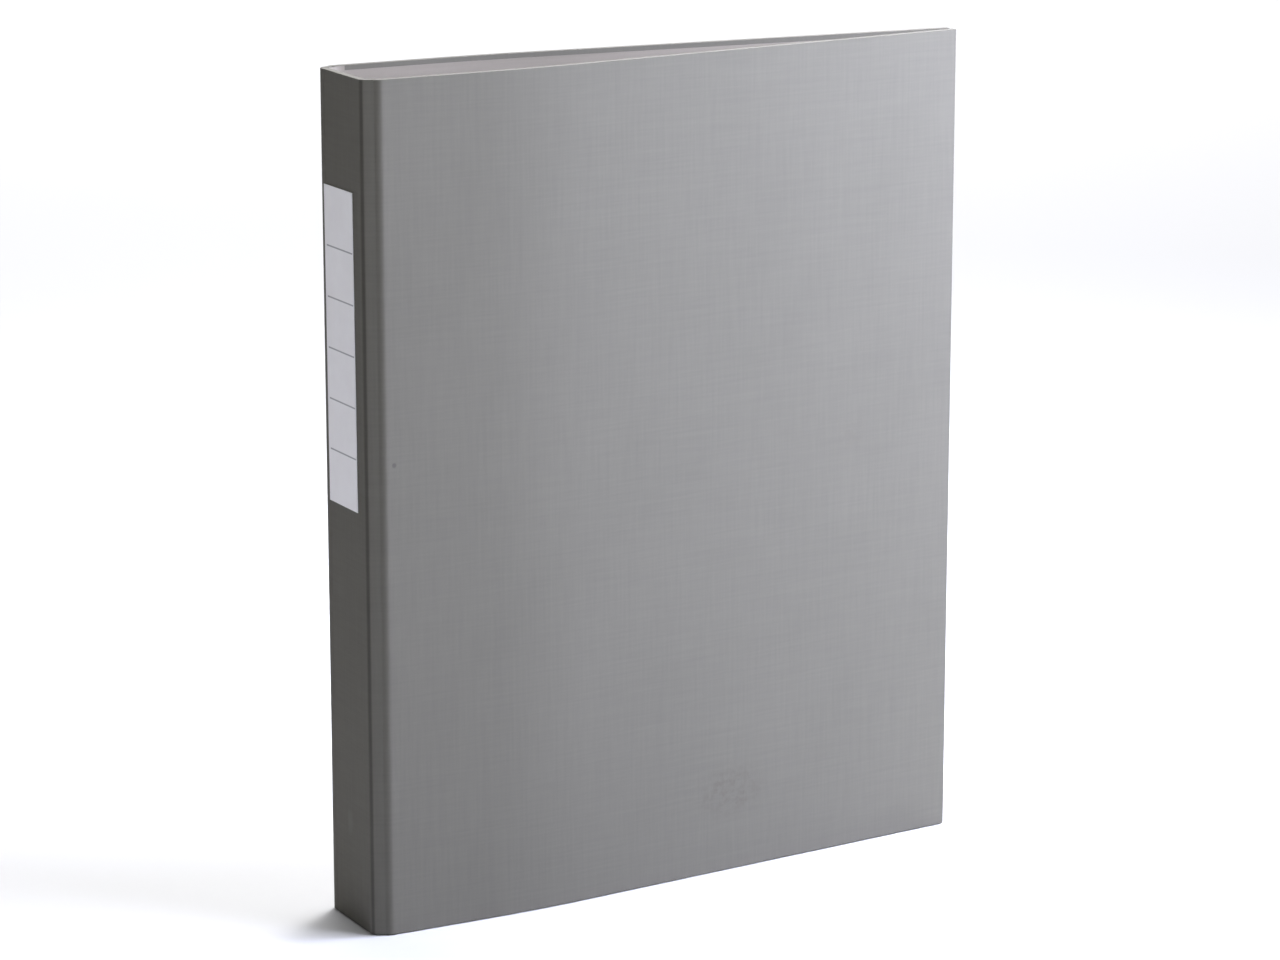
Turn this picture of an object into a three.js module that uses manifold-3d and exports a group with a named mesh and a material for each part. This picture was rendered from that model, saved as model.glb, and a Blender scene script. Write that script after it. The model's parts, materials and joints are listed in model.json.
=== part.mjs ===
// An A4 ring binder standing on its lower edges, as on a shelf. The case is pasteboard wrapped in
// grey book cloth: a spine, two narrow hinge strips and two covers, joined at four pressed creases.
// A four-ring mechanism with D-shaped rings is riveted inside the back cover.
// Millimetres. +X runs from the spine to the fore edge, +Y from the front cover to the back, +Z up.
// The origin is under the middle of the whole binder, at the foot of the case.

import * as THREE from "three";
import { mergeVertices } from "three/addons/utils/BufferGeometryUtils.js";
import Module from "manifold-3d";

const wasm = await Module();
wasm.setup();

// Case sizes
const binderHeight = 316;
const spineWidth = 34.4; // between the two corner creases
const stripWidth = 4.6; // from corner crease to cover groove
const stripAngle = 33; // degrees between a hinge strip and the closed cover's flat part
const coverWidth = 251.5; // from the groove to the fore edge, along the cover
const coverFlat = 42; // stretch beside the groove that stays square to the spine
const coverBendLength = 42; // stretch over which the closed cover curves inwards
const foreEdgeHalf = 3.4; // half the closed binder's thickness at the fore edge
const cornerDepth = 0.5; // how deep the corner crease is pressed into the spine
const cornerReach = 1.2;
const grooveDepth = 1.2; // how deep the groove is pressed below the cover
const grooveReach = 2.8;
const beadHeight = 0.35; // how far a hinge strip swells beside the corner crease
const beadReach = 0.9; // from the corner crease to the swelling's highest line

// Case materials, from outside to inside
const clothThickness = 0.3;
const glueGap = 0.1;
const boardThickness = 1.7;
const liningThickness = 0.25;
const turnIn = 15; // width of the cloth folded round the edges
const liningMargin = 1.8; // cloth that shows round the lining
const creaseGap = 0.15; // from each panel to the middle of its crease
const boreExtra = 1; // how far a cutting shape runs past what it cuts

// Spine label
const labelWidth = 24.2;
const labelHeight = 116.6;
const labelThickness = 0.2;
const labelTop = 41.4; // from the top of the binder
const labelBackMargin = 3.3; // from the back corner crease
const labelTurn = 0.4; // degrees out of true

// Ring mechanism
const seatGap = 0.3; // between the lining and the mechanism
const mechanismInset = 27; // from the outside of the spine to the mechanism's middle
const housingWidth = 21;
const housingHeight = 8;
const housingSteel = 0.9;
const housingWall = 4.6; // height of the side walls under the arch
const lipWidth = 1.9; // of the ledge that carries a blade's outer edge
const lipHeight = 2.3;
const earMargin = 1; // steel round a lever pin
const slotSill = 0.2; // from the side wall's top to a ring slot
const ringPitch = 80; // four-hole punching
const ringCount = 4;
const ringWire = 3;
const ringHeight = 31; // middle of the wire above the housing's foot
const ringLegOffset = 6.2; // from the mechanism's middle to a leg's root
const ringStraightOffset = 10;
const ringBulgeOffset = 14.5;
const ringTurnDepth = 2; // where a leg turns outwards, under the housing's top
const ringShoulderRise = 2.5; // where it turns up again, above the housing's top
const ringBulgeRise = 4.5;
const ringCrownDrop = 8; // from the closed top to where the round half turns in
const straightRadii = [1.6, 1.8, 5.5]; // how far each turn starts before its corner
const roundRadii = [2, 4, 5, 4];
const ringSlotClearance = 0.5;
const legHoleClearance = 0.3;
const tipGap = 0.3;
const bladeWidth = 9;
const bladeThickness = 1.2;
const bladeSideGap = 0.4;
const bladeLipGap = 0.3;
const bladeEndMargin = 6.5; // beyond the last ring
const bladeTilt = 7; // degrees, closed
const leverPivotMargin = 10; // from the last ring to the lever's pin
const leverWidth = 14;
const leverPlate = 1;
const leverTongue = 8;
const leverTongueWidth = 5;
const leverTab = 15;
const leverTabAngle = 58; // degrees from the back cover
const leverPinRadius = 0.8;
const leverKnuckleRadius = 1.8;
const leverSideGap = 1.2;
const leverCrownGap = 2.4; // from the knuckle to the housing's crown
const tongueRoot = 0.4; // from the knuckle to the tongue's shoulders
const leverPinHeight = 2.2;
const pinClearance = 0.2;
const pinEndProud = 0.3;
const rivetPitch = 210;
const rivetRadius = 2;
const rivetHeadRadius = 4.5;
const rivetHeadHeight = 1.3;
const rivetClearance = 0.3;
const rivetBladeClearance = 0.9;
const rivetRimRadius = 3.2;
const rivetRimHeight = 0.6;

// Values that follow from the sizes
const radians = THREE.MathUtils.degToRad;
const wrapThickness = 2 * clothThickness + 2 * glueGap + boardThickness;
const panelThickness = wrapThickness + glueGap + liningThickness;
const strip = radians(stripAngle);
const stripAlong = new THREE.Vector2(Math.cos(strip), Math.sin(strip));
const cornerCrease = new THREE.Vector2(cornerDepth, spineWidth / 2);
const groove = cornerCrease.clone().addScaledVector(stripAlong, stripWidth);
const coverHalf = groove.y + grooveDepth; // half the thickness at the hinge
const straightLength = coverWidth - coverFlat - coverBendLength;
const coverDrop = coverHalf - foreEdgeHalf;
const coverBend = Math.asin(coverDrop / (straightLength + coverBendLength / 2));
const bendRadius = coverBendLength / coverBend;
const foreEdgeX =
  groove.x +
  coverFlat +
  bendRadius * Math.sin(coverBend) +
  straightLength * Math.cos(coverBend);
const liningY = coverHalf - panelThickness;
const centreX = (foreEdgeX - labelThickness - glueGap) / 2;
const centreY = rivetHeadHeight / 2;

// Finishes
const finish = (color, roughness, metalness = 0) =>
  new THREE.MeshStandardMaterial({ color, roughness, metalness });
const cloth = finish(0x8f8e8c, 0.85);
const board = finish(0x8a8074, 0.95);
const lining = finish(0x97948f, 0.8);
const paper = finish(0xe9e7ea, 0.7);
const nickel = finish(0xc9c9c6, 0.25, 1);

// Solids to cut and join
function solid(geometry) {
  const bare = geometry.clone();
  bare.deleteAttribute("normal");
  bare.deleteAttribute("uv");
  const merged = mergeVertices(bare, 1e-4);
  return new wasm.Manifold(
    new wasm.Mesh({
      numProp: 3,
      vertProperties: merged.attributes.position.array,
      triVerts: new Uint32Array(merged.index.array),
    }),
  );
}

function geometryOf(made) {
  const mesh = made.getMesh();
  const geometry = new THREE.BufferGeometry();
  geometry.setAttribute("position", new THREE.BufferAttribute(mesh.vertProperties, 3));
  geometry.setIndex(new THREE.BufferAttribute(mesh.triVerts, 1));
  return geometry.toNonIndexed();
}

// An outline without the points that lie on a straight line between their neighbours.
function cornersOf(points) {
  return points.filter((point, i) => {
    const before = points[(i + points.length - 1) % points.length];
    const after = points[(i + 1) % points.length];
    const from = new THREE.Vector2().subVectors(point, before).normalize();
    const to = new THREE.Vector2().subVectors(after, point).normalize();
    return Math.abs(from.cross(to)) > 1e-5;
  });
}

function slab(points, low, high) {
  const geometry = new THREE.ExtrudeGeometry(new THREE.Shape(cornersOf(points)), {
    depth: high - low,
    bevelEnabled: false,
  });
  return geometry.translate(0, 0, low);
}

// A block between two values on each axis, given in either order.
function blockBetween(xa, xb, ya, yb, za, zb) {
  const box = new THREE.BoxGeometry(Math.abs(xb - xa), Math.abs(yb - ya), Math.abs(zb - za));
  return solid(box.translate((xa + xb) / 2, (ya + yb) / 2, (za + zb) / 2));
}

// A cylinder along Y, as a hole through a cover or the housing's crown.
function postHole(radius, x, z, low, high) {
  const hole = new THREE.CylinderGeometry(radius, radius, high - low, 24);
  return solid(hole.translate(x, (low + high) / 2, z));
}

// The panels of the case. along(s, depth) is the plan point s millimetres along the outer face and
// depth millimetres under it, on the back half; dip(s) is how far the face is pressed in there.
// A crease's slope is how fast its mitre moves inwards, from depth base.
const cornerSlope = Math.tan((Math.PI / 2 - strip) / 2);
const grooveSlope = Math.tan(strip / 2);

const coverPanel = {
  length: coverWidth,
  start: { slope: grooveSlope, base: grooveDepth },
  stations: [
    ...[0.1, 0.25, 0.4, 0.6, 0.8, 1].map((share) => share * grooveReach),
    ...Array.from({ length: 9 }, (_, i) => coverFlat + (coverBendLength * i) / 8),
  ],
  dip: (s) => grooveDepth * THREE.MathUtils.clamp(1 - s / grooveReach, 0, 1) ** 2,
  along(s, depth) {
    if (s <= coverFlat) return new THREE.Vector2(groove.x + s, coverHalf - depth);
    const turn = Math.min((s - coverFlat) / bendRadius, coverBend);
    const rest = Math.max(0, s - coverFlat - coverBendLength);
    return new THREE.Vector2(
      groove.x + coverFlat + (bendRadius - depth) * Math.sin(turn) + rest * Math.cos(turn),
      coverHalf - bendRadius + (bendRadius - depth) * Math.cos(turn) - rest * Math.sin(turn),
    );
  },
};

const stripPanel = {
  length: stripWidth,
  start: { slope: cornerSlope, base: 0 },
  end: { slope: grooveSlope, base: 0 },
  stations: [0.2, 0.4, 0.7, 1].map((share) => share * beadReach),
  dip: (s) => {
    const fall = (stripWidth - s) / (stripWidth - beadReach);
    const rise = 1 - THREE.MathUtils.clamp(1 - s / beadReach, 0, 1) ** 2;
    return -beadHeight * rise * THREE.MathUtils.clamp(fall, 0, 1);
  },
  along: (s, depth) =>
    new THREE.Vector2(
      cornerCrease.x + s * stripAlong.x + depth * stripAlong.y,
      cornerCrease.y + s * stripAlong.y - depth * stripAlong.x,
    ),
};

const spinePanel = {
  length: spineWidth,
  start: { slope: cornerSlope, base: cornerDepth },
  end: { slope: cornerSlope, base: cornerDepth },
  stations: [0.3, 0.7, 1]
    .map((share) => share * cornerReach)
    .flatMap((s) => [s, spineWidth - s])
    .sort((a, b) => a - b),
  dip: (s) => {
    const near = Math.min(s, spineWidth - s);
    return cornerDepth * THREE.MathUtils.clamp(1 - near / cornerReach, 0, 1) ** 2;
  },
  along: (s, depth) => new THREE.Vector2(depth, s - spineWidth / 2),
};

// The plan outline of a layer between two depths, set back from each crease's mitre by inset. Its
// outer corners lie where the mitre meets the pressed face, which a few rounds of meet settle.
function layer(panel, outer, inner, inset, foreInset = 0) {
  const setBack = (crease, depth) =>
    (depth - crease.base) * crease.slope + inset * Math.hypot(1, crease.slope);
  const last = (depth) => panel.length - (panel.end ? setBack(panel.end, depth) : foreInset);
  const meet = (guess, place) => {
    let s = guess;
    for (let i = 0; i < 12; i++) s = place(outer + panel.dip(s));
    return s;
  };
  const first = meet(0, (depth) => setBack(panel.start, depth));
  const final = panel.end ? meet(panel.length, last) : last(outer);
  const margin = 0.02; // stations nearer a corner than this are left out
  const between = panel.stations.filter((s) => s > first + margin && s < final - margin);
  const top = [first, ...between, final].map((s) => panel.along(s, outer + panel.dip(s)));
  const under = [setBack(panel.start, inner), last(inner)];
  const low = panel.stations.filter((s) => s > under[0] + margin && s < under[1] - margin);
  const bottom = [under[0], ...low, under[1]].map((s) => panel.along(s, inner));
  return [...top, ...bottom.reverse()];
}

const mirrored = (points, side) => points.map((p) => new THREE.Vector2(p.x, side * p.y));

// A panel whose face isn't pressed in at its creases, as on the inside.
const unpressed = (panel) => ({ ...panel, dip: () => 0 });

// An outline made solid on one half of the case, as far from the head and foot as margin says.
function panelSolid(outline, side, margin) {
  return solid(slab(mirrored(outline, side), margin, binderHeight - margin));
}

const drilled = (made, holes) => holes.reduce((rest, hole) => rest.subtract(hole), made);

// Cloth is one sheet over the outside, folded round the free edges onto the inside of the board.
function clothGeometry(panel, side, holes) {
  const backOfBoard = wrapThickness - clothThickness;
  const past = -boreExtra;
  const wrap = layer(panel, 0, wrapThickness, creaseGap);
  const core = layer(panel, clothThickness, backOfBoard, past, clothThickness);
  const windowTop = backOfBoard - glueGap / 2;
  const window = layer(unpressed(panel), windowTop, wrapThickness + boreExtra, past, turnIn);
  const made = panelSolid(wrap, side, 0)
    .subtract(panelSolid(core, side, clothThickness))
    .subtract(panelSolid(window, side, turnIn));
  return geometryOf(drilled(made, holes));
}

function boardGeometry(panel, side, holes) {
  const outer = clothThickness + glueGap;
  const outline = layer(panel, outer, outer + boardThickness, creaseGap + glueGap, outer);
  return geometryOf(drilled(panelSolid(outline, side, outer), holes));
}

function liningGeometry(panel, side, holes) {
  const outer = wrapThickness + glueGap;
  const inner = outer + liningThickness;
  const outline = layer(unpressed(panel), outer, inner, creaseGap + glueGap, liningMargin);
  return geometryOf(drilled(panelSolid(outline, side, liningMargin), holes));
}

function mesh(name, geometry, material) {
  const made = new THREE.Mesh(geometry, material);
  made.name = name;
  return made;
}

function panelMeshes(name, panel, side, holes = []) {
  return [
    mesh(`${name}_board`, boardGeometry(panel, side, holes), board),
    mesh(`${name}_cloth`, clothGeometry(panel, side, holes), cloth),
    mesh(`${name}_lining`, liningGeometry(panel, side, holes), lining),
  ];
}

// The label is pasted on the spine nearer its back corner, a little out of true.
function labelMesh() {
  const made = mesh(
    "spine_label",
    new THREE.BoxGeometry(labelThickness, labelWidth, labelHeight),
    paper,
  );
  made.position.set(
    -glueGap - labelThickness / 2,
    spineWidth / 2 - labelBackMargin - labelWidth / 2,
    binderHeight - labelTop - labelHeight / 2,
  );
  made.rotation.x = radians(-labelTurn);
  return made;
}

// The mechanism's own frame: x towards the spine, y up from the back cover's lining, z along it.
const bladePivot = new THREE.Vector2(
  housingWidth / 2 - housingSteel - bladeSideGap,
  lipHeight + bladeLipGap + bladeThickness / 2,
);
const ringRadius = ringWire / 2;
const lastRing = (ringPitch * (ringCount - 1)) / 2;
const leverPivot = lastRing + leverPivotMargin;
const bladeHalf = lastRing + bladeEndMargin;
const ringPlaces = Array.from({ length: ringCount }, (_, i) => ringPitch * i - lastRing);
const rivetPlaces = [-rivetPitch / 2, rivetPitch / 2];

// The housing's section: an arch on two side walls, with a ledge inside each wall's foot.
function archOutline() {
  const half = housingWidth / 2;
  const rise = housingHeight - housingWall;
  const radius = (half * half + rise * rise) / (2 * rise);
  const centre = housingHeight - radius;
  const inner = half - housingSteel;
  const spread = Math.asin(half / radius);
  const innerSpread = Math.asin(inner / (radius - housingSteel));
  const shape = new THREE.Shape();
  shape.moveTo(half, 0);
  shape.lineTo(half, housingWall);
  shape.absarc(0, centre, radius, Math.PI / 2 - spread, Math.PI / 2 + spread, false);
  shape.lineTo(-half, 0);
  shape.lineTo(-half + lipWidth, 0);
  shape.lineTo(-half + lipWidth, lipHeight);
  shape.lineTo(-inner, lipHeight);
  const upright = Math.PI / 2;
  shape.absarc(0, centre, radius - housingSteel, upright + innerSpread, upright - innerSpread, true);
  shape.lineTo(inner, lipHeight);
  shape.lineTo(half - lipWidth, lipHeight);
  shape.lineTo(half - lipWidth, 0);
  return shape.getPoints(10);
}

// A rod along a lever's pin, of any radius and length.
function pinRod(radius, length, z) {
  const rod = new THREE.CylinderGeometry(radius, radius, length, 20);
  return rod.rotateZ(Math.PI / 2).translate(0, leverPinHeight, z);
}

// Arched steel cover plate, open at its ends for the levers, with a slot for every ring leg.
function housingGeometry() {
  const half = leverPivot + leverKnuckleRadius + pinClearance + earMargin;
  const crownEnd = leverPivot - leverKnuckleRadius - leverCrownGap;
  const earInside = leverWidth / 2 + leverSideGap;
  const over = housingHeight + boreExtra;
  const legPlay = ringRadius + ringSlotClearance;
  const slotFoot = housingWall + slotSill;
  const slotEnd = housingWidth / 2 - 2 * housingSteel / 3;
  let made = solid(slab(archOutline(), -half, half));
  for (const z of ringPlaces)
    for (const side of [-1, 1]) {
      const near = side * (ringLegOffset - legPlay);
      made = made.subtract(
        blockBetween(near, side * slotEnd, slotFoot, over, z - legPlay, z + legPlay),
      );
    }
  for (const end of [-1, 1]) {
    const endOfCut = end * (half + boreExtra);
    const opening = blockBetween(
      -earInside, earInside, -boreExtra, over, end * crownEnd, endOfCut);
    const bore = pinRod(leverPinRadius + pinClearance, housingWidth + 2 * boreExtra, end * leverPivot);
    made = made.subtract(opening).subtract(solid(bore));
  }
  const rivetBore = (z) => postHole(rivetRadius + rivetClearance, 0, z, housingWall, over);
  return geometryOf(drilled(made, rivetPlaces.map(rivetBore)));
}

// A flat spring-steel blade. Its outer edge rests on the housing's ledge; closed, it tilts down
// towards the middle.
function bladeGeometry(side) {
  const tilt = radians(bladeTilt);
  const along = new THREE.Vector2(-side * Math.cos(tilt), -Math.sin(tilt));
  const across = new THREE.Vector2(-side * Math.sin(tilt), Math.cos(tilt));
  const corner = (reach, lift) =>
    new THREE.Vector2(side * bladePivot.x, bladePivot.y)
      .addScaledVector(along, reach)
      .addScaledVector(across, lift);
  const half = bladeThickness / 2;
  const outline = [
    corner(0, -half),
    corner(bladeWidth, -half),
    corner(bladeWidth, half),
    corner(0, half),
  ];
  const made = solid(slab(outline, -bladeHalf, bladeHalf));
  const legHole = (z) =>
    postHole(ringRadius + legHoleClearance, side * ringLegOffset, z, 0, housingHeight);
  const rivetHole = (z) => postHole(rivetRadius + rivetBladeClearance, 0, z, 0, housingHeight);
  return geometryOf(drilled(made, [...ringPlaces.map(legHole), ...rivetPlaces.map(rivetHole)]));
}

// A path through points, straight between them and rounded at each inner one.
function roundedPath(points, radii) {
  const path = new THREE.CurvePath();
  let from = points[0];
  for (let i = 1; i < points.length - 1; i++) {
    const before = new THREE.Vector3().subVectors(points[i - 1], points[i]).normalize();
    const after = new THREE.Vector3().subVectors(points[i + 1], points[i]).normalize();
    const enter = points[i].clone().addScaledVector(before, radii[i - 1]);
    const leave = points[i].clone().addScaledVector(after, radii[i - 1]);
    path.add(new THREE.LineCurve3(from, enter));
    path.add(new THREE.QuadraticBezierCurve3(enter, points[i], leave));
    from = leave;
  }
  path.add(new THREE.LineCurve3(from, points[points.length - 1]));
  return path;
}

// Half a ring of round wire, staked in its blade: straight on the fore side, round on the other.
function ringGeometry(side, z) {
  const point = (x, y) => new THREE.Vector3(side * x, y, z);
  const root = bladePivot.y - (bladePivot.x - ringLegOffset) * Math.tan(radians(bladeTilt));
  const leg = [
    point(ringLegOffset, root - bladeThickness / 2),
    point(ringLegOffset, housingHeight - ringTurnDepth),
  ];
  const straight = [
    ...leg,
    point(ringStraightOffset, housingHeight + ringShoulderRise),
    point(ringStraightOffset, ringHeight),
    point(tipGap / 2, ringHeight),
  ];
  const round = [
    ...leg,
    point(ringBulgeOffset, housingHeight + ringBulgeRise),
    point(ringBulgeOffset, ringHeight - ringCrownDrop),
    point(ringBulgeOffset / 2, ringHeight),
    point(tipGap / 2, ringHeight),
  ];
  const path = side < 0 ? roundedPath(straight, straightRadii) : roundedPath(round, roundRadii);
  const section = new THREE.Shape().absarc(0, 0, ringRadius, 0, 2 * Math.PI);
  return new THREE.ExtrudeGeometry(section, {
    extrudePath: path,
    steps: 34,
    curveSegments: 5,
    bevelEnabled: false,
  });
}

// A lever: thumb tab outside, knuckle on its pin, tongue under the blades' ends. end is 1 at the top.
function leverGeometry(end) {
  const tab = radians(leverTabAngle);
  const tabAlong = new THREE.Vector2(Math.cos(tab), Math.sin(tab));
  const tabAcross = new THREE.Vector2(-Math.sin(tab), Math.cos(tab));
  const pin = new THREE.Vector2(0, leverPinHeight);
  const low = leverPinHeight - leverKnuckleRadius;
  const onTab = (reach, lift) =>
    pin
      .clone()
      .addScaledVector(tabAlong, reach)
      .addScaledVector(tabAcross, lift - leverKnuckleRadius);
  const onKnuckle = (from, sweep) =>
    [0, 0.25, 0.5, 0.75, 1].map((share) => {
      const turn = radians(from + sweep * share);
      return new THREE.Vector2(Math.cos(turn), Math.sin(turn))
        .multiplyScalar(leverKnuckleRadius)
        .add(pin);
    });
  const plate = slab(
    [
      new THREE.Vector2(-leverTongue, low),
      ...onKnuckle(-90, leverTabAngle),
      onTab(leverTab, 0),
      onTab(leverTab, leverPlate),
      onTab(leverKnuckleRadius + leverPlate, leverPlate),
      ...onKnuckle(leverTabAngle + 20, 100),
      new THREE.Vector2(-leverKnuckleRadius, low + leverPlate),
      new THREE.Vector2(-leverTongue, low + leverPlate),
    ],
    -leverWidth / 2,
    leverWidth / 2,
  );
  plate.rotateY(-Math.PI / 2).translate(0, 0, leverPivot);
  const bore = pinRod(leverPinRadius + pinClearance, leverWidth + 2 * boreExtra, leverPivot);
  let made = solid(plate).subtract(solid(bore));
  const tongueEnd = leverPivot - leverTongue - boreExtra;
  const shoulders = leverPivot - leverKnuckleRadius - tongueRoot;
  for (const side of [-1, 1]) {
    const near = (side * leverTongueWidth) / 2;
    const far = side * leverWidth;
    made = made.subtract(
      blockBetween(near, far, -boreExtra, housingHeight, tongueEnd, shoulders),
    );
  }
  const geometry = geometryOf(made);
  return end > 0 ? geometry : geometry.rotateY(Math.PI);
}

// A lever's pin, its ends just proud of the housing's walls.
function leverPinGeometry(end) {
  return pinRod(leverPinRadius, housingWidth + 2 * pinEndProud, end * leverPivot);
}

// A rivet through the back cover, with a domed head outside and a rim on the housing's crown.
function rivetGeometry(z) {
  const outside = -seatGap - panelThickness;
  const crown = housingHeight + glueGap;
  const dome = [0, 0.2, 0.4, 0.6, 0.8, 1].map((share) => {
    const turn = (share * Math.PI) / 2;
    const rise = (rivetHeadHeight - glueGap) * Math.cos(turn);
    return new THREE.Vector2(rivetHeadRadius * Math.sin(turn), outside - glueGap - rise);
  });
  const profile = [
    ...dome,
    new THREE.Vector2(rivetRadius, outside - glueGap),
    new THREE.Vector2(rivetRadius, crown),
    new THREE.Vector2(rivetRimRadius, crown),
    new THREE.Vector2(rivetRimRadius, crown + rivetRimHeight / 2),
    new THREE.Vector2(rivetRadius, crown + rivetRimHeight),
    new THREE.Vector2(0, crown + rivetRimHeight),
  ];
  return new THREE.LatheGeometry(profile, 24).translate(0, 0, z);
}

function mechanism() {
  const group = new THREE.Group();
  group.position.set(mechanismInset, liningY - seatGap, binderHeight / 2);
  group.rotation.z = Math.PI;
  group.add(mesh("mechanism_housing", housingGeometry(), nickel));
  for (const [name, side] of [["spine_side", 1], ["fore_side", -1]]) {
    group.add(mesh(`${name}_blade`, bladeGeometry(side), nickel));
    ringPlaces.forEach((z, i) =>
      group.add(mesh(`${name}_ring_${i + 1}`, ringGeometry(side, z), nickel)),
    );
  }
  for (const [name, end] of [["upper", 1], ["lower", -1]]) {
    group.add(mesh(`${name}_lever`, leverGeometry(end), nickel));
    group.add(mesh(`${name}_lever_pin`, leverPinGeometry(end), nickel));
  }
  group.add(mesh("lower_rivet", rivetGeometry(rivetPlaces[0]), nickel));
  group.add(mesh("upper_rivet", rivetGeometry(rivetPlaces[1]), nickel));
  return group;
}

const binder = new THREE.Group();
const rivetHole = (z) =>
  postHole(
    rivetRadius + rivetClearance,
    mechanismInset,
    binderHeight / 2 + z,
    liningY - boreExtra,
    coverHalf + boreExtra,
  );
binder.add(
  ...panelMeshes("spine", spinePanel, 1),
  labelMesh(),
  ...panelMeshes("front_strip", stripPanel, -1),
  ...panelMeshes("front_cover", coverPanel, -1),
  ...panelMeshes("back_strip", stripPanel, 1),
  ...panelMeshes("back_cover", coverPanel, 1, rivetPlaces.map(rivetHole)),
  mechanism(),
);
binder.position.set(-centreX, -centreY, 0);

const part = new THREE.Group();
part.add(binder);

export default part;
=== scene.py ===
import json
import math

import bmesh
import bpy
from mathutils import Matrix, Vector


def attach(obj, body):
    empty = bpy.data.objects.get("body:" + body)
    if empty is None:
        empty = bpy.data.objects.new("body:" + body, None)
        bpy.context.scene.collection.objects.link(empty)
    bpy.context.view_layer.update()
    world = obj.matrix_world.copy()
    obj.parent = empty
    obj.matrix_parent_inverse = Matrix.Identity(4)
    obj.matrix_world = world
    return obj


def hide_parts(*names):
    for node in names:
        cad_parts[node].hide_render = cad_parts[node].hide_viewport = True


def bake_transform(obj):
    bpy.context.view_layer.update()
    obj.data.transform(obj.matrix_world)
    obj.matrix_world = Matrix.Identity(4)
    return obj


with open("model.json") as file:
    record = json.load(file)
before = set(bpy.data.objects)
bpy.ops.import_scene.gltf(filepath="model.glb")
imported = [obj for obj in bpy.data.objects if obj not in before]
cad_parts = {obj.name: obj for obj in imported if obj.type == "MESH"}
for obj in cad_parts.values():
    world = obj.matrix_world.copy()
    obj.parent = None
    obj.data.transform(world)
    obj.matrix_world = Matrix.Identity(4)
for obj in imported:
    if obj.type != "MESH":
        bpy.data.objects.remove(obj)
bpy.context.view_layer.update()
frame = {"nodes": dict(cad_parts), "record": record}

MM = 0.001

# Sizes of the binder, the same as the part's, in millimetres
HEIGHT = 316.0
SPINE_WIDTH = 34.4
STRIP_WIDTH = 4.6  # between the two creases
STRIP_ANGLE = math.radians(33)  # from the cover
CORNER_DEPTH = 0.5  # how far the crease at the spine's corner is pressed in
CORNER_REACH = 1.2
GROOVE_DEPTH = 1.2
GROOVE_REACH = 2.8
BEAD_HEIGHT = 0.35  # how far the strip swells beside the corner crease
BEAD_REACH = 0.9
PANEL_THICKNESS = 2.85
COVER_WIDTH = 251.5
COVER_FLAT = 42.0  # from the groove to where the cover bends
COVER_BEND_LENGTH = 42.0
FORE_EDGE_HALF = 3.4
MECHANISM_INSET = 27.0
SEAT_GAP = 0.3
HOUSING_HEIGHT = 8.0
RIVET_HEAD_HEIGHT = 1.3
RING_WIRE = 3.0
RING_HEIGHT = 31.0
RING_LEG_OFFSET = 6.2
RING_STRAIGHT_OFFSET = 10.0
RING_BULGE_OFFSET = 14.5
RING_TURN_DEPTH = 2.0  # where a leg turns outwards, under the housing's top
RING_SHOULDER_RISE = 2.5  # where it turns up again, above the housing's top
RING_BULGE_RISE = 4.5
RING_CROWN_DROP = 8.0  # from the closed top to where the round half turns in
RING_TIP_OFFSET = 0.16
RING_TIP_ROUND = 0.35
STRAIGHT_RADII = (1.6, 1.8, 5.5)  # how far each turn starts before its corner
ROUND_RADII = (2, 4, 5, 4)
RING_PITCH = 80.0
RING_COUNT = 4
BLADE_PIVOT = (9.2, 3.2)  # from the mechanism's middle and from the lining
BLADE_TILT = math.radians(7)
BLADE_HALF_THICKNESS = 0.6
LABEL_HALF_WIDTH = 12.1
LABEL_HALF_HEIGHT = 58.3
LABEL_TOP = 41.4  # from the top of the binder
LABEL_BACK_MARGIN = 3.3  # from the back corner crease
LABEL_TURN = math.radians(0.4)
LABEL_PROUD = 0.3  # its thickness and glue, outside the spine

corner = Vector((CORNER_DEPTH, SPINE_WIDTH / 2))
strip_along = Vector((math.cos(STRIP_ANGLE), math.sin(STRIP_ANGLE)))
strip_out = Vector((-strip_along.y, strip_along.x))
groove = corner + STRIP_WIDTH * strip_along
cover_half = groove.y + GROOVE_DEPTH
straight = COVER_WIDTH - COVER_FLAT - COVER_BEND_LENGTH
cover_bend = math.asin((cover_half - FORE_EDGE_HALF) / (straight + COVER_BEND_LENGTH / 2))
bend_radius = COVER_BEND_LENGTH / cover_bend
fore_edge_x = (groove.x + COVER_FLAT + bend_radius * math.sin(cover_bend)
               + straight * math.cos(cover_bend))
centre_x = (fore_edge_x - LABEL_PROUD) / 2
centre_y = RIVET_HEAD_HEIGHT / 2


def place(x, y, z):
    """A point in the row frame and metres. It is given in millimetres: x from the outside of the
    spine, y from the middle between the covers, z from the floor."""
    return Vector(((x - centre_x) * MM, (y - centre_y) * MM, z * MM))


# Materials

def linear(hex_colour):
    """An sRGB hex colour as linear RGBA."""
    parts = [int(hex_colour[i:i + 2], 16) / 255 for i in (1, 3, 5)]
    return (*[c / 12.92 if c <= 0.04045 else ((c + 0.055) / 1.055) ** 2.4 for c in parts], 1.0)


def new_material(name):
    """An empty node material and its tree."""
    material = bpy.data.materials.new(name)
    material.use_nodes = True
    tree = material.node_tree
    tree.nodes.clear()
    return material, tree


def add(tree, kind, settings=None, **inputs):
    """Adds a node. Settings are its properties; inputs are values or sockets, by name, or by
    number as i0, i1 and so on."""
    node = tree.nodes.new(kind)
    for key, value in (settings or {}).items():
        setattr(node, key, value)
    for key, value in inputs.items():
        numbered = key[0] == "i" and key[1:].isdigit()
        socket = node.inputs[int(key[1:]) if numbered else key.replace("_", " ")]
        if isinstance(value, bpy.types.NodeSocket):
            tree.links.new(value, socket)
        else:
            socket.default_value = value
    return node


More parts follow.
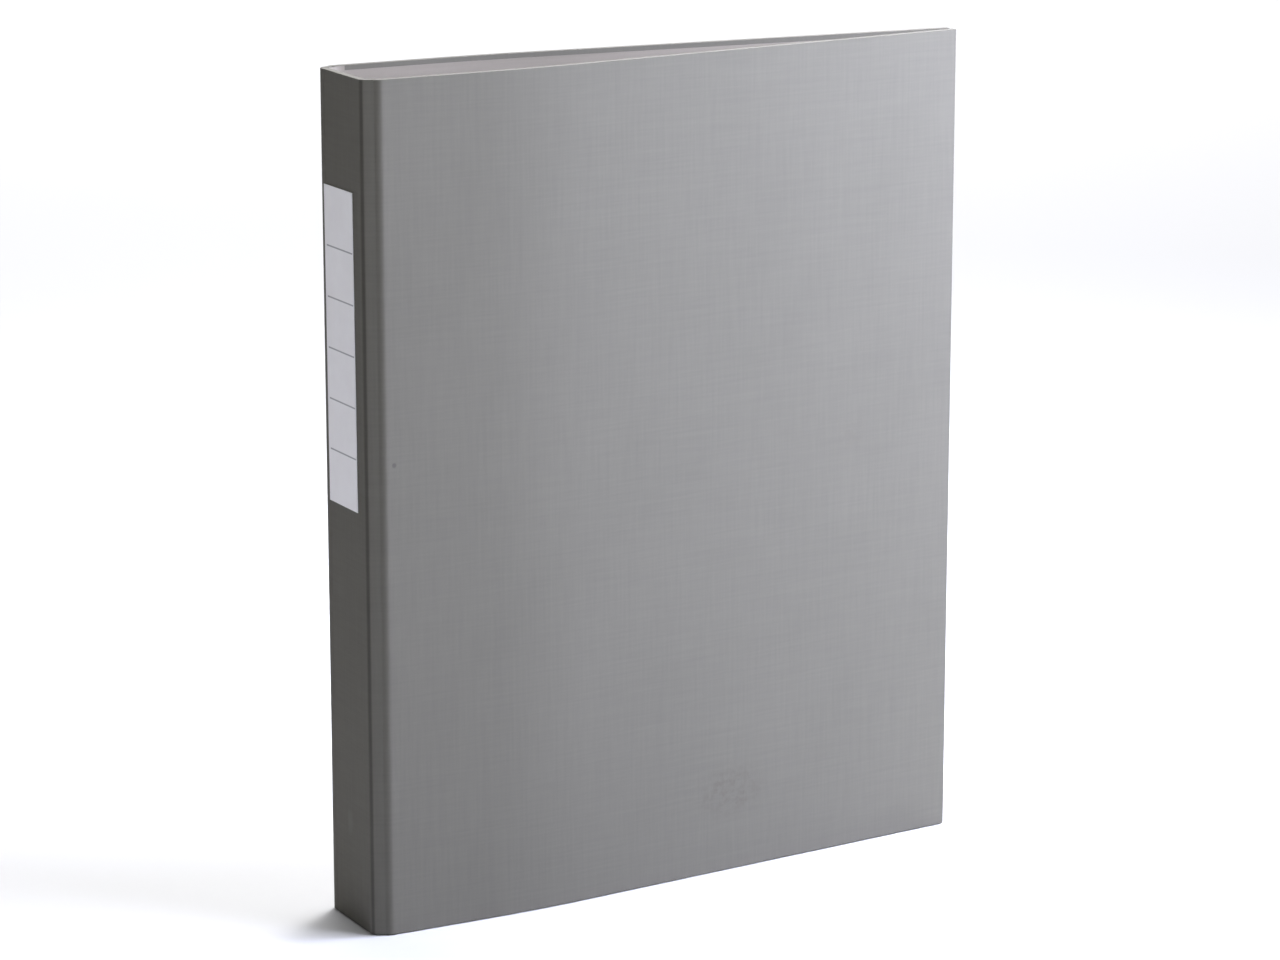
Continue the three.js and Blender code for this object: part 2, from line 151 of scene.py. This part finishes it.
def spot(tree, position, centre, radius, softness, stretch=(1, 1, 1)):
    """1 inside a soft-edged patch round a place on the object, 0 outside it."""
    moved = add(tree, "ShaderNodeVectorMath", {"operation": "SUBTRACT"}, i0=position, i1=centre)
    scaled = add(tree, "ShaderNodeVectorMath", {"operation": "MULTIPLY"},
                 i0=moved.outputs[0], i1=stretch)
    length = add(tree, "ShaderNodeVectorMath", {"operation": "LENGTH"}, i0=scaled.outputs[0])
    return add(tree, "ShaderNodeMapRange", {"interpolation_type": "SMOOTHSTEP"},
               Value=length.outputs["Value"], From_Min=radius, From_Max=radius * (1 - softness),
               To_Min=0.0, To_Max=1.0).outputs["Result"]


# Marks and painted shade on the cloth: place, radius in metres, softness, stretch, strength and
# colour.
# First painted shade along both corner creases, about 2 mm wide: the cloth darkened where the
# crease's shade falls
CREASE_PAINTED_SHADE = [(place(corner.x, side * corner.y, 0), 0.0011, 0.75, (1, 1, 0), 0.5, "#35322f")
                 for side in (-1, 1)]
# Then a pale scuff low on the spine and a dark speck beside the front groove
SMALL_SCUFFS = [(place(0.0, 0.8, 38.2), 0.0035, 0.9, (1, 1, 0.5), 0.07, "#a9a6a2"),
                (place(9.7, -20.9, 176.7), 0.0012, 0.6, (1, 1, 1), 0.6, "#4a4846")]


def drawn_threads(tree, position, across, along, detail):
    """Noise drawn out along upright and along level threads."""
    noises = []
    for scale in ((across, across, along), (along, along, across)):
        drawn = add(tree, "ShaderNodeMapping", {"vector_type": "POINT"}, Vector=position,
                    Scale=scale)
        noises.append(add(tree, "ShaderNodeTexNoise", Vector=drawn.outputs[0], Scale=1.0,
                          Detail=detail).outputs["Fac"])
    return noises


def marked(tree, position, colour, marks):
    """The colour with each mark laid over it in turn."""
    for centre, radius, softness, stretch, strength, hex_colour in marks:
        shape = spot(tree, position, centre, radius, softness, stretch)
        amount = add(tree, "ShaderNodeMath", {"operation": "MULTIPLY"}, i0=shape, i1=strength)
        colour = add(tree, "ShaderNodeMixRGB", {"blend_type": "MIX"}, Fac=amount.outputs[0],
                     Color1=colour, Color2=linear(hex_colour)).outputs[0]
    return colour


def book_cloth():
    """Grey starched book cloth on board, calendered with a linen emboss. Threads about 0.5 mm apart
    catch the light as fine crossed ribs, some of them thicker, and the surface stays matt."""
    material, tree = new_material("linen_embossed_book_cloth")
    position = add(tree, "ShaderNodeTexCoord").outputs["Object"]
    # Threads about 0.5 mm apart are too fine to show from here, so they are drawn 1 mm apart
    warp, weft = drawn_threads(tree, position, 1000, 45, 2.0)
    threads = add(tree, "ShaderNodeMath", {"operation": "ADD"}, i0=warp, i1=weft)
    # Slubs: thicker threads here and there, 2 mm wide and about 60 mm long
    upright_slub, level_slub = drawn_threads(tree, position, 500, 16, 1.0)
    slubs = add(tree, "ShaderNodeMath", {"operation": "MAXIMUM"}, i0=upright_slub, i1=level_slub)
    relief = add(tree, "ShaderNodeMath", {"operation": "MULTIPLY_ADD"},
                 i0=slubs.outputs[0], i1=0.25, i2=threads.outputs[0])
    tone = add(tree, "ShaderNodeMapRange", Value=relief.outputs[0], From_Min=0.65, From_Max=1.6,
               To_Min=0.0, To_Max=1.0)
    weave = add(tree, "ShaderNodeMixRGB", {"blend_type": "MIX"}, Fac=tone.outputs["Result"],
                Color1=linear("#605e58"), Color2=linear("#66645d"))
    # Handling: broad soft differences of tone, 40 to 80 mm across
    handled = add(tree, "ShaderNodeTexNoise", Vector=position, Scale=18.0, Detail=3.0,
                  Roughness=0.5)
    broad = add(tree, "ShaderNodeMapRange", Value=handled.outputs["Fac"], From_Min=0.3,
                From_Max=0.7, To_Min=0.98, To_Max=1.02)
    colour = add(tree, "ShaderNodeMixRGB", {"blend_type": "MULTIPLY"}, Fac=1.0,
                 Color1=weave.outputs[0], Color2=broad.outputs["Result"]).outputs[0]
    # Painted shade along both corner creases
    colour = marked(tree, position, colour, CREASE_PAINTED_SHADE)
    # A rubbed patch low on the front cover and a fainter one above it, both broken up by grains
    # of about 3 mm
    mottle = add(tree, "ShaderNodeTexNoise", Vector=position, Scale=330.0, Detail=3.0,
                 Roughness=0.7)
    patch = spot(tree, position, place(153.0, -12.7, 31.0), 0.021, 0.8, (1, 1, 1.5))
    faint = spot(tree, position, place(207.3, -7.9, 164.9), 0.010, 0.9)
    rubbed = add(tree, "ShaderNodeMath", {"operation": "MULTIPLY_ADD"},
                 i0=faint, i1=0.35, i2=patch)
    rough_edge = add(tree, "ShaderNodeMapRange", Value=mottle.outputs["Fac"], From_Min=0.42,
                     From_Max=0.62, To_Min=0.02, To_Max=0.3)
    amount = add(tree, "ShaderNodeMath", {"operation": "MULTIPLY"},
                 i0=rubbed.outputs[0], i1=rough_edge.outputs["Result"])
    colour = add(tree, "ShaderNodeMixRGB", {"blend_type": "MIX"}, Fac=amount.outputs[0],
                 Color1=colour, Color2=linear("#4d4640")).outputs[0]
    colour = marked(tree, position, colour, SMALL_SCUFFS)
    bump = add(tree, "ShaderNodeBump", Strength=0.12, Distance=0.0001, Height=relief.outputs[0])
    shader = add(tree, "ShaderNodeBsdfPrincipled", Base_Color=colour, Roughness=0.8,
                 Normal=bump.outputs[0])
    shader.inputs["Specular IOR Level"].default_value = 0.22
    add(tree, "ShaderNodeOutputMaterial", Surface=shader.outputs[0])
    return material


def lining_paper():
    """Grey machine-made lining paper, pasted flat on board. Faint laid ribs 1.2 mm apart and the
    fibres of the pulp give it a soft, dull grain."""
    material, tree = new_material("ribbed_lining_paper")
    position = add(tree, "ShaderNodeTexCoord").outputs["Object"]
    ribs = add(tree, "ShaderNodeMapping", {"vector_type": "POINT"}, Vector=position,
               Scale=(25, 25, 830))
    laid = add(tree, "ShaderNodeTexNoise", Vector=ribs.outputs[0], Scale=1.0, Detail=1.0)
    fibres = add(tree, "ShaderNodeTexNoise", Vector=position, Scale=900.0, Detail=3.0)
    tone = add(tree, "ShaderNodeMath", {"operation": "MULTIPLY_ADD"}, i0=fibres.outputs["Fac"],
               i1=0.5, i2=laid.outputs["Fac"])
    shade = add(tree, "ShaderNodeMapRange", Value=tone.outputs[0], From_Min=0.2, From_Max=1.3)
    colour = add(tree, "ShaderNodeMixRGB", {"blend_type": "MIX"}, Fac=shade.outputs["Result"],
                 Color1=linear("#7d7870"), Color2=linear("#87817a"))
    bump = add(tree, "ShaderNodeBump", Strength=0.08, Distance=0.00006, Height=tone.outputs[0])
    shader = add(tree, "ShaderNodeBsdfPrincipled", Base_Color=colour.outputs[0], Roughness=0.8,
                 Normal=bump.outputs[0])
    shader.inputs["Specular IOR Level"].default_value = 0.3
    add(tree, "ShaderNodeOutputMaterial", Surface=shader.outputs[0])
    return material


def pasteboard():
    """Grey-brown pasteboard of pulped paper: dull, with fine flecks of fibre at its cut edges."""
    material, tree = new_material("grey_pasteboard")
    position = add(tree, "ShaderNodeTexCoord").outputs["Object"]
    fleck = add(tree, "ShaderNodeTexNoise", Vector=position, Scale=1400.0, Detail=4.0,
                Roughness=0.7)
    colour = add(tree, "ShaderNodeMixRGB", {"blend_type": "MIX"}, Fac=fleck.outputs["Fac"],
                 Color1=linear("#6f665c"), Color2=linear("#9a9084"))
    shader = add(tree, "ShaderNodeBsdfPrincipled", Base_Color=colour.outputs[0], Roughness=0.95)
    add(tree, "ShaderNodeOutputMaterial", Surface=shader.outputs[0])
    return material


# The label's printed rules, in millimetres from its top and its two sides
FIRST_RULE = 22.0
RULE_PITCH = 18.75
LAST_RULE = 4  # counted from 0
RULE_SIDE_MARGINS = (0.6, 1.6)


def label_paper():
    """Smooth white machine-coated paper with a soft sheen, printed with five thin grey rules."""
    material, tree = new_material("ruled_white_label_paper")
    position = add(tree, "ShaderNodeTexCoord").outputs["Object"]
    middle = place(0, SPINE_WIDTH / 2 - LABEL_BACK_MARGIN - LABEL_HALF_WIDTH,
                   HEIGHT - LABEL_TOP - LABEL_HALF_HEIGHT)
    square = add(tree, "ShaderNodeMapping", {"vector_type": "TEXTURE"}, Vector=position,
                 Location=middle, Rotation=(-LABEL_TURN, 0, 0))
    axes = add(tree, "ShaderNodeSeparateXYZ", Vector=square.outputs[0])
    first_height = (LABEL_HALF_HEIGHT - FIRST_RULE) * MM
    count = add(tree, "ShaderNodeMapRange", {"clamp": False}, Value=axes.outputs["Z"],
                From_Min=first_height, From_Max=first_height - RULE_PITCH * MM)
    nearest = add(tree, "ShaderNodeMath", {"operation": "ROUND"}, i0=count.outputs["Result"])
    kept = add(tree, "ShaderNodeClamp", Value=nearest.outputs[0], Min=0.0, Max=float(LAST_RULE))
    away = add(tree, "ShaderNodeMath", {"operation": "SUBTRACT"}, i0=count.outputs["Result"],
               i1=kept.outputs[0])
    distance = add(tree, "ShaderNodeMath", {"operation": "ABSOLUTE"}, i0=away.outputs[0])
    # Half a rule's thickness as a share of the pitch, about 0.25 mm with its soft edge
    rule = add(tree, "ShaderNodeMapRange", Value=distance.outputs[0], From_Min=0.021,
               From_Max=0.007)
    start = add(tree, "ShaderNodeMath", {"operation": "LESS_THAN"}, i0=axes.outputs["Y"],
                i1=(LABEL_HALF_WIDTH - RULE_SIDE_MARGINS[1]) * MM)
    end = add(tree, "ShaderNodeMath", {"operation": "GREATER_THAN"}, i0=axes.outputs["Y"],
              i1=(RULE_SIDE_MARGINS[0] - LABEL_HALF_WIDTH) * MM)
    inside = add(tree, "ShaderNodeMath", {"operation": "MULTIPLY"}, i0=start.outputs[0],
                 i1=end.outputs[0])
    printed = add(tree, "ShaderNodeMath", {"operation": "MULTIPLY"}, i0=inside.outputs[0],
                  i1=rule.outputs["Result"])
    fibres = add(tree, "ShaderNodeTexNoise", Vector=position, Scale=160.0, Detail=4.0)
    paper = add(tree, "ShaderNodeMixRGB", {"blend_type": "MIX"}, Fac=fibres.outputs["Fac"],
                Color1=linear("#eceaec"), Color2=linear("#f4f3f4"))
    colour = add(tree, "ShaderNodeMixRGB", {"blend_type": "MIX"}, Fac=printed.outputs[0],
                 Color1=paper.outputs[0], Color2=linear("#a09ea2"))
    shader = add(tree, "ShaderNodeBsdfPrincipled", Base_Color=colour.outputs[0], Roughness=0.55)
    shader.inputs["Specular IOR Level"].default_value = 0.4
    add(tree, "ShaderNodeOutputMaterial", Surface=shader.outputs[0])
    return material


def nickel_plate(name, lines_per_metre):
    """Bright nickel plate on drawn or rolled steel: mirror-like, with faint lines from the drawing
    and clouds of slightly duller plate, about 8 mm across."""
    material, tree = new_material(name)
    position = add(tree, "ShaderNodeTexCoord").outputs["Object"]
    lines = add(tree, "ShaderNodeMapping", {"vector_type": "POINT"}, Vector=position,
                Scale=lines_per_metre)
    drawn = add(tree, "ShaderNodeTexNoise", Vector=lines.outputs[0], Scale=1.0, Detail=2.0)
    cloud = add(tree, "ShaderNodeTexNoise", Vector=position, Scale=120.0, Detail=3.0)
    rough = add(tree, "ShaderNodeMath", {"operation": "MULTIPLY_ADD"}, i0=cloud.outputs["Fac"],
                i1=0.14, i2=0.13)
    colour = add(tree, "ShaderNodeMixRGB", {"blend_type": "MIX"}, Fac=cloud.outputs["Fac"],
                 Color1=linear("#c2c1bd"), Color2=linear("#d6d5d1"))
    bump = add(tree, "ShaderNodeBump", Strength=0.08, Distance=0.00002,
               Height=drawn.outputs["Fac"])
    shader = add(tree, "ShaderNodeBsdfPrincipled", Base_Color=colour.outputs[0],
                 Metallic=1.0, Roughness=rough.outputs[0], Normal=bump.outputs[0])
    add(tree, "ShaderNodeOutputMaterial", Surface=shader.outputs[0])
    return material


cloth = book_cloth()
lining = lining_paper()
board = pasteboard()
label = label_paper()
# Lines 0.2 mm apart along the rolled sheet, and grains of about 1 mm on the bent wire
rolled_nickel = nickel_plate("rolled_nickel_plated_steel", (5000, 5000, 30))
drawn_nickel = nickel_plate("drawn_nickel_plated_wire", (900, 900, 900))


# Pieces

def finish_piece(name, bm, material, body, sharp_from):
    """Turns a bmesh into a shown piece. Edges turning more than sharp_from degrees stay sharp."""
    mesh = bpy.data.meshes.new(name)
    bm.to_mesh(mesh)
    bm.free()
    for polygon in mesh.polygons:
        polygon.use_smooth = True
    mesh.set_sharp_from_angle(angle=math.radians(sharp_from))
    piece = bpy.data.objects.new(name, mesh)
    bpy.context.scene.collection.objects.link(piece)
    mesh.materials.append(material)
    if body:
        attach(piece, body)
    return piece


def even_normals(piece):
    """Keeps the shading of flat faces flat beside their rounded edges."""
    weighted = piece.modifiers.new("even_normals", "WEIGHTED_NORMAL")
    weighted.keep_sharp = True


def give_material(node, material):
    mesh = frame["nodes"][node].data
    mesh.materials.clear()
    mesh.materials.append(material)


def body_of_node(node):
    return next(b for b, nodes in frame["record"]["behaviour"]["bodies"].items() if node in nodes)


def merged_copy(node):
    """The CAD node's own shape with its vertices joined, to be dressed."""
    bm = bmesh.new()
    bm.from_mesh(frame["nodes"][node].data)
    bmesh.ops.remove_doubles(bm, verts=bm.verts, dist=2e-6)
    return bm


FOLD_RADIUS = 0.45
FORE_EDGE_ZONE = 3.6  # from the fore edge, where its upright edges are


def folded_edges(bm, has_fore_edge):
    """The outer edges where the cloth is folded round the board: head, foot and fore edge."""
    chosen = []
    for edge in bm.edges:
        if not edge.is_convex or edge.calc_face_angle(0) < math.radians(50):
            continue
        a, b = edge.verts[0].co, edge.verts[1].co
        level = abs(a.z - b.z) < 1e-6
        at_end = all(v.z < 1e-6 or v.z > HEIGHT * MM - 1e-6 for v in (a, b)) and level
        at_fore_edge = (has_fore_edge and abs(a.z - b.z) > 0.1
                        and min(a.x, b.x) > place(fore_edge_x - FORE_EDGE_ZONE, 0, 0).x)
        if at_end or at_fore_edge:
            chosen.append(edge)
    return chosen


def dress_panels():
    for panel in ("spine", "front_strip", "front_cover", "back_strip", "back_cover"):
        node = f"{panel}_cloth"
        bm = merged_copy(node)
        bmesh.ops.bevel(bm, geom=folded_edges(bm, panel.endswith("cover")),
                        offset=FOLD_RADIUS * MM, offset_type="OFFSET", segments=3, profile=0.5,
                        affect="EDGES", material=-1, clamp_overlap=True)
        piece = finish_piece(f"{panel}_linen_cloth", bm, cloth, panel, 32)
        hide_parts(node)
        even_normals(piece)
        give_material(f"{panel}_board", board)
        sheet = finish_piece(f"{panel}_lining_paper", merged_copy(f"{panel}_lining"), lining,
                             panel, 32)
        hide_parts(f"{panel}_lining")


# Sheets over the creases, in millimetres
SHEET_THICKNESS = 0.1
SHEET_END_GAP = 0.15  # from the head and the foot
SHEET_ROWS = 12
SHEET_LIFT = 0.09  # over the surface that the sheet lies on


def crease_sheet(name, side, profile, material,
                 inside=False):
    """A sheet of cloth or paper laid over a crease, from one panel to the next. profile is a list
    of plan points from the spine outwards; side is -1 at the front and 1 at the back."""
    bm = bmesh.new()
    row = [bm.verts.new(place(p.x, side * p.y, SHEET_END_GAP)) for p in profile]
    edges = [bm.edges.new((a, b)) for a, b in zip(row, row[1:])]
    for _ in range(SHEET_ROWS):
        made = bmesh.ops.extrude_edge_only(bm, edges=edges)["geom"]
        step = [v for v in made if isinstance(v, bmesh.types.BMVert)]
        bmesh.ops.translate(bm, verts=step,
                            vec=(0, 0, (HEIGHT - 2 * SHEET_END_GAP) * MM / SHEET_ROWS))
        edges = [e for e in made if isinstance(e, bmesh.types.BMEdge)
                 and abs(e.verts[0].co.z - e.verts[1].co.z) < 1e-7]
    bmesh.ops.recalc_face_normals(bm, faces=bm.faces)
    outward = Vector((-1, side * 0.6, 0)) * (-1 if inside else 1)
    if sum(face.normal.dot(outward) for face in bm.faces) < 0:
        bmesh.ops.reverse_faces(bm, faces=bm.faces)
    bmesh.ops.solidify(bm, geom=list(bm.faces), thickness=SHEET_THICKNESS * MM)
    bmesh.ops.recalc_face_normals(bm, faces=bm.faces)
    piece = finish_piece(name, bm, material, None, 60)
    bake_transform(piece)


def dip(distance, depth, reach):
    """How far a panel is pressed in beside a crease."""
    return depth * max(0, 1 - distance / reach) ** 2


def bead(s):
    """How far the hinge strip swells, s millimetres from the corner crease."""
    rise = 1 - max(0.0, 1 - s / BEAD_REACH) ** 2
    return BEAD_HEIGHT * rise * min(1.0, (STRIP_WIDTH - s) / (STRIP_WIDTH - BEAD_REACH))


def on_strip(s, lift):
    return corner + s * strip_along + lift * strip_out


def outside_profiles():
    """The plan of the cloth over the corner crease and over the groove. The lists hold distances
    from the crease, closer together where the cloth bends more."""
    half = STRIP_WIDTH / 2
    over_corner = [Vector((-SHEET_LIFT + dip(d, CORNER_DEPTH, CORNER_REACH), corner.y - d))
                   for d in (3.6, 2.4, 1.6, 1.2, 0.9, 0.6, 0.3)]
    over_corner.append(corner + SHEET_LIFT * Vector((-0.88, 0.48)))
    over_corner += [on_strip(s, bead(s) + SHEET_LIFT) for s in (0.18, 0.36, 0.6, 0.9, 1.5, half)]
    over_groove = [on_strip(s, bead(s) + SHEET_LIFT) for s in (half, 3.0, 3.6, 4.1, 4.4)]
    over_groove.append(groove + SHEET_LIFT * Vector((-0.55, 0.83)))
    over_groove += [
        Vector((groove.x + s, cover_half + SHEET_LIFT - dip(s, GROOVE_DEPTH, GROOVE_REACH)))
        for s in (0.28, 0.7, 1.1, 1.6, 2.2, 2.8, 3.6, 4.6)]
    return over_corner, over_groove


def lay_creases():
    corner_slope = math.tan((math.pi / 2 - STRIP_ANGLE) / 2)
    groove_slope = math.tan(STRIP_ANGLE / 2)
    depth = PANEL_THICKNESS + SHEET_LIFT
    corner_in = on_strip(PANEL_THICKNESS * corner_slope, -depth)
    groove_in = on_strip(STRIP_WIDTH - PANEL_THICKNESS * groove_slope, -depth)
    strip_in = (corner_in + groove_in) / 2
    cover_in = cover_half - depth
    # The lining rounds off both inner corners a little
    in_corner = [Vector((depth, y)) for y in (12.9, 14.0, 14.9)]
    in_corner += [Vector((depth + 0.12, 15.4)), corner_in + Vector((-0.05, -0.03)),
                  (corner_in + strip_in) / 2, strip_in]
    in_groove = [strip_in, (strip_in + groove_in) / 2, groove_in + Vector((0.1, -0.02)),
                 groove_in + Vector((0.9, 0.35)),
                 Vector((groove_in.x + 2.0, cover_in - 0.25)),
                 Vector((groove_in.x + 3.2, cover_in - 0.04)),
                 Vector((groove_in.x + 5.0, cover_in))]
    over_corner, over_groove = outside_profiles()
    for half_name, side in (("front", -1), ("back", 1)):
        crease_sheet(f"{half_name}_corner_cloth", side, over_corner,
                     cloth)
        crease_sheet(f"{half_name}_groove_cloth", side, over_groove,
                     cloth)
        crease_sheet(f"{half_name}_corner_lining", side, in_corner,
                     lining,
                     inside=True)
        crease_sheet(f"{half_name}_groove_lining", side, in_groove,
                     lining,
                     inside=True)


def rounded(points, radii, steps=6):
    """A path through points whose inner corners are rounded."""
    path = [points[0]]
    for before, at, after, radius in zip(points, points[1:], points[2:], radii):
        enter = at + (before - at).normalized() * radius
        leave = at + (after - at).normalized() * radius
        for i in range(steps + 1):
            t = i / steps
            path.append((1 - t) ** 2 * enter + 2 * t * (1 - t) * at + t * t * leave)
    path.append(points[-1])
    return path


def ring_path(side, z):
    """The middle of the wire from its foot in the blade to the tip, straight on the fore side and
    round on the spine's."""
    foot = (BLADE_PIVOT[1] - (BLADE_PIVOT[0] - RING_LEG_OFFSET) * math.tan(BLADE_TILT)
            - BLADE_HALF_THICKNESS)
    leg = [(RING_LEG_OFFSET, foot), (RING_LEG_OFFSET, HOUSING_HEIGHT - RING_TURN_DEPTH)]
    if side < 0:
        plan = [*leg, (RING_STRAIGHT_OFFSET, HOUSING_HEIGHT + RING_SHOULDER_RISE),
                (RING_STRAIGHT_OFFSET, RING_HEIGHT), (RING_TIP_OFFSET, RING_HEIGHT)]
        radii = STRAIGHT_RADII
    else:
        plan = [*leg, (RING_BULGE_OFFSET, HOUSING_HEIGHT + RING_BULGE_RISE),
                (RING_BULGE_OFFSET, RING_HEIGHT - RING_CROWN_DROP),
                (RING_BULGE_OFFSET / 2, RING_HEIGHT), (RING_TIP_OFFSET, RING_HEIGHT)]
        radii = ROUND_RADII
    seat = cover_half - PANEL_THICKNESS - SEAT_GAP
    return [place(MECHANISM_INSET - side * p.x, seat - p.y, HEIGHT / 2 + z)
            for p in rounded([Vector(point) for point in plan], radii)]


def half_ring(name, side, z, node, body):
    """Half a ring of round wire with a domed tip, swept along the part's own ring path."""
    path = ring_path(side, z)
    bm = bmesh.new()
    verts = bmesh.ops.create_circle(bm, cap_ends=False, radius=RING_WIRE / 2 * MM,
                                    segments=20)["verts"]
    direction = (path[1] - path[0]).normalized()
    turn = Vector((0, 0, 1)).rotation_difference(direction).to_matrix().to_4x4()
    bmesh.ops.transform(bm, matrix=Matrix.Translation(path[0]) @ turn, verts=verts)
    foot_edges = list(bm.edges)
    edges = foot_edges
    for i in range(1, len(path)):
        made = bmesh.ops.extrude_edge_only(bm, edges=edges)["geom"]
        moved = [v for v in made if isinstance(v, bmesh.types.BMVert)]
        edges = [e for e in made if isinstance(e, bmesh.types.BMEdge)
                 and e.verts[0] in moved and e.verts[1] in moved]
        here = (path[i] - path[i - 1]).normalized()
        ahead = path[min(i + 1, len(path) - 1)] - path[i]
        ahead = here if ahead.length < 1e-9 else ahead.normalized()
        wanted = (here + ahead).normalized()
        bend = direction.rotation_difference(wanted).to_matrix().to_4x4()
        bmesh.ops.transform(bm, verts=moved, matrix=Matrix.Translation(path[i]) @ bend
                            @ Matrix.Translation(-path[i - 1]))
        direction = wanted
    bmesh.ops.contextual_create(bm, geom=foot_edges)
    tip = bmesh.ops.contextual_create(bm, geom=edges)["faces"]
    bmesh.ops.bevel(bm, geom=[e for f in tip for e in f.edges], offset=RING_TIP_ROUND * MM,
                    offset_type="OFFSET", segments=3, profile=0.5, affect="EDGES", material=-1)
    bmesh.ops.recalc_face_normals(bm, faces=bm.faces)
    piece = finish_piece(name, bm, drawn_nickel, body, 45)
    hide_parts(node)


ROLLED_EDGE = 0.18


def dress_mechanism():
    for half_name, side in (("spine_side", 1), ("fore_side", -1)):
        for i in range(RING_COUNT):
            half_ring(f"{half_name}_half_ring_{i + 1}", side,
                      RING_PITCH * (i - (RING_COUNT - 1) / 2), f"{half_name}_ring_{i + 1}",
                      f"{half_name}_rings")
    for node in ("mechanism_housing", "spine_side_blade", "fore_side_blade", "upper_lever",
                 "lower_lever", "upper_lever_pin", "lower_lever_pin", "upper_rivet",
                 "lower_rivet"):
        bm = merged_copy(node)
        bmesh.ops.dissolve_limit(bm, angle_limit=math.radians(1), verts=bm.verts,
                                 edges=bm.edges, use_dissolve_boundaries=False)
        piece = finish_piece(f"{node}_plated", bm, rolled_nickel, body_of_node(node),
                             35)
        rim = piece.modifiers.new("rolled_edges", "BEVEL")
        rim.width = ROLLED_EDGE * MM
        rim.segments = 2
        rim.limit_method = "ANGLE"
        rim.angle_limit = math.radians(50)
        even_normals(piece)
        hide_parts(node)


dress_panels()
lay_creases()
dress_mechanism()
give_material("spine_label", label)


# Floor and light

def studio_floor():
    """A plain pale floor of matt paper."""
    material, tree = new_material("pale_studio_paper")
    shader = add(tree, "ShaderNodeBsdfPrincipled", Base_Color=linear("#c6c6c8"), Roughness=0.9)
    add(tree, "ShaderNodeOutputMaterial", Surface=shader.outputs[0])
    bm = bmesh.new()
    bmesh.ops.create_grid(bm, x_segments=1, y_segments=1, size=30.0)
    bmesh.ops.translate(bm, verts=bm.verts, vec=(0, 0, -0.0004))
    mesh = bpy.data.meshes.new("studio_floor")
    bm.to_mesh(mesh)
    bm.free()
    floor = bpy.data.objects.new("studio_floor", mesh)
    mesh.materials.append(material)
    bpy.context.scene.collection.objects.link(floor)


def soft_light(name, kind, position, target, power, size, colour=(1, 1, 1)):
    """A round softbox, its size in metres, or a hazy sun, its size in degrees."""
    lamp = bpy.data.lights.new(name, kind)
    lamp.energy = power
    lamp.color = colour
    if kind == "AREA":
        lamp.shape = "DISK"
        lamp.size = size
    else:
        lamp.angle = math.radians(size)
    holder = bpy.data.objects.new(name, lamp)
    holder.location = position
    holder.rotation_euler = (Vector(target) - Vector(position)).to_track_quat("-Z", "Y").to_euler()
    bpy.context.scene.collection.objects.link(holder)


studio_floor()
# Two boxes at the right light the front cover, more at its right edge, and leave the spine to the
# floor's own light. Those above the far side light the top edges
soft_light("key_softbox", "AREA", (0.48, -0.58, 0.78), (0, 0, 0.2), 8.9, 0.4, (0.95, 0.985, 1.13))
soft_light("side_softbox", "AREA", (0.55, -0.24, 0.5), (0.05, 0, 0.22), 12.7, 0.3,
           (0.93, 0.975, 1.2))
soft_light("fill", "AREA", (-0.42, -0.25, 0.85), (-0.1, 0, 0.3), 1.25, 0.4)
soft_light("top_softbox", "AREA", (0.35, 0.35, 0.78), (0, 0, 0.25), 7, 0.35)
soft_light("top_light", "SUN", (0.85, 0.35, 1.0), (0, 0, 0), 1.2, 45)
soft_light("background_light", "AREA", (1.1, 2.3, 2.4), (1.1, 2.3, 0), 120, 3.0)

world = bpy.data.worlds.new("studio")
bpy.context.scene.world = world
world.use_nodes = True
background = world.node_tree.nodes["Background"]
background.inputs["Color"].default_value = (1, 1, 1, 1)
background.inputs["Strength"].default_value = 0.11
bpy.context.scene.view_settings.view_transform = "Standard"

# Camera, solved from the edges of the binder in the photograph
FOCAL_PX = 4386
IMAGE_WIDTH_PX = 1280
SENSOR_MM = 36
AZIMUTH = math.radians(28.11)
TILT = math.radians(13.54)
CAMERA_FROM_SPINE = (-633, -1411, 539.6)

camera_data = bpy.data.cameras.new("camera")
camera_data.sensor_width = SENSOR_MM
camera_data.lens = FOCAL_PX / IMAGE_WIDTH_PX * SENSOR_MM
camera_data.clip_end = 100
camera = bpy.data.objects.new("camera", camera_data)
bpy.context.scene.collection.objects.link(camera)
forward = Vector((math.cos(TILT) * math.sin(AZIMUTH), math.cos(TILT) * math.cos(AZIMUTH),
                  -math.sin(TILT)))
right = Vector((math.cos(AZIMUTH), -math.sin(AZIMUTH), 0))
up = right.cross(forward)
camera.matrix_world = Matrix.Translation(place(*CAMERA_FROM_SPINE)) @ Matrix(
    (right, up, -forward)).transposed().to_4x4()
bpy.context.scene.camera = camera
